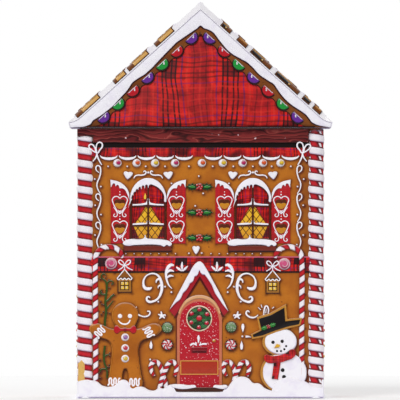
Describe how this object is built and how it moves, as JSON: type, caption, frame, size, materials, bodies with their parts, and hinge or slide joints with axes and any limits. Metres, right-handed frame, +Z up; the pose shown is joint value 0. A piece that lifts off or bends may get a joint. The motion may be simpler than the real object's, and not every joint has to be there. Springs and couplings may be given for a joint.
{
  "type": "house-shaped biscuit tin",
  "caption": "Shut tinplate biscuit tin shaped and printed as a snowy gingerbread house, with a gabled roof lid, embossed windows, door and figures.",
  "frame": {"origin": "centre of the tin's outline on the plane that its base rim stands on", "axes": "+X to the right as seen from the front, +Y towards the back, +Z up; the wall with the door faces -Y"},
  "size_m": [0.1596, 0.078, 0.24],
  "materials": {
    "gingerbread_print": "varnished print, gingerbread brown",
    "icing_print": "varnished print, icing white with lilac shading",
    "tartan_print": "varnished print, red tartan",
    "candy_print": "varnished print, candy red",
    "sweet_print": "varnished print, sweets in several colours",
    "wood_print": "varnished print, dark brown wood",
    "window_print": "varnished print, lit window yellow",
    "leaf_print": "varnished print, leaf green",
    "gold_print": "varnished print, golden biscuit",
    "black_print": "varnished print, black",
    "bare_tinplate": "lacquered bare tinplate"
  },
  "bodies": {
    "root": {"tin_body": "gingerbread_print", "base_panel": "bare_tinplate", "roof_sheet": "icing_print", "front_gable": "tartan_print", "rear_gable": "tartan_print"}
  },
  "joints": []
}
